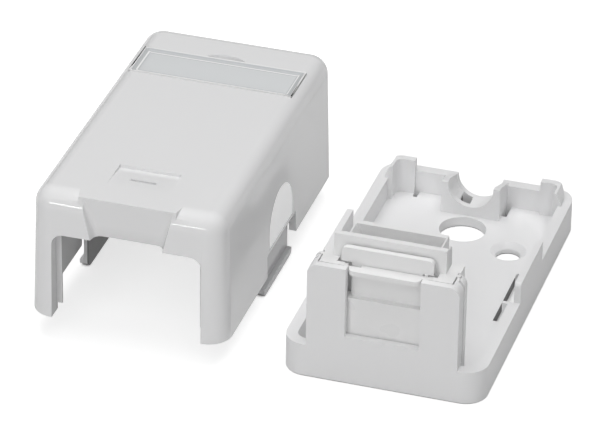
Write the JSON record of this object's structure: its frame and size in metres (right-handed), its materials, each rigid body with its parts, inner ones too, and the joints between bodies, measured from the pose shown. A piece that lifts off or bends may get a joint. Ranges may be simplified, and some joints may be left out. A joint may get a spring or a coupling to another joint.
{
  "type": "surface mount jack box",
  "caption": "Small wall box for a network jack: tray base with a port tower, lift-out port frame with blanking plug, and a cover with a label window that clips over them, shown taken off.",
  "frame": {"origin": "middle of the base tray's underside, on the wall's surface", "axes": "+Z away from the wall, -Y the side that the port faces, +X across the box; the cover stands at -X"},
  "size_m": [0.09, 0.0755, 0.0322],
  "materials": {
    "base_plastic": "moulded white, semi-gloss",
    "frame_plastic": "moulded white, semi-gloss",
    "plug_plastic": "moulded white, semi-gloss",
    "cover_plastic": "moulded white, glossy",
    "clear_window": "clear moulded plastic",
    "card": "matt paper"
  },
  "bodies": {
    "base": {"base_tray": "base_plastic", "cover_shell": "cover_plastic", "label_card": "card"},
    "insert": {"port_frame": "frame_plastic", "blanking_plug": "plug_plastic"},
    "window": {"label_window": "clear_window"}
  },
  "joints": [
    {"name": "insert_lift", "type": "slide", "parent": "base", "child": "insert", "axis": [0, 0, 1], "range_m": [0, 0.024]},
    {"name": "window_lift", "type": "slide", "parent": "base", "child": "window", "axis": [0, 0, 1], "range_m": [0, 0.006]}
  ]
}
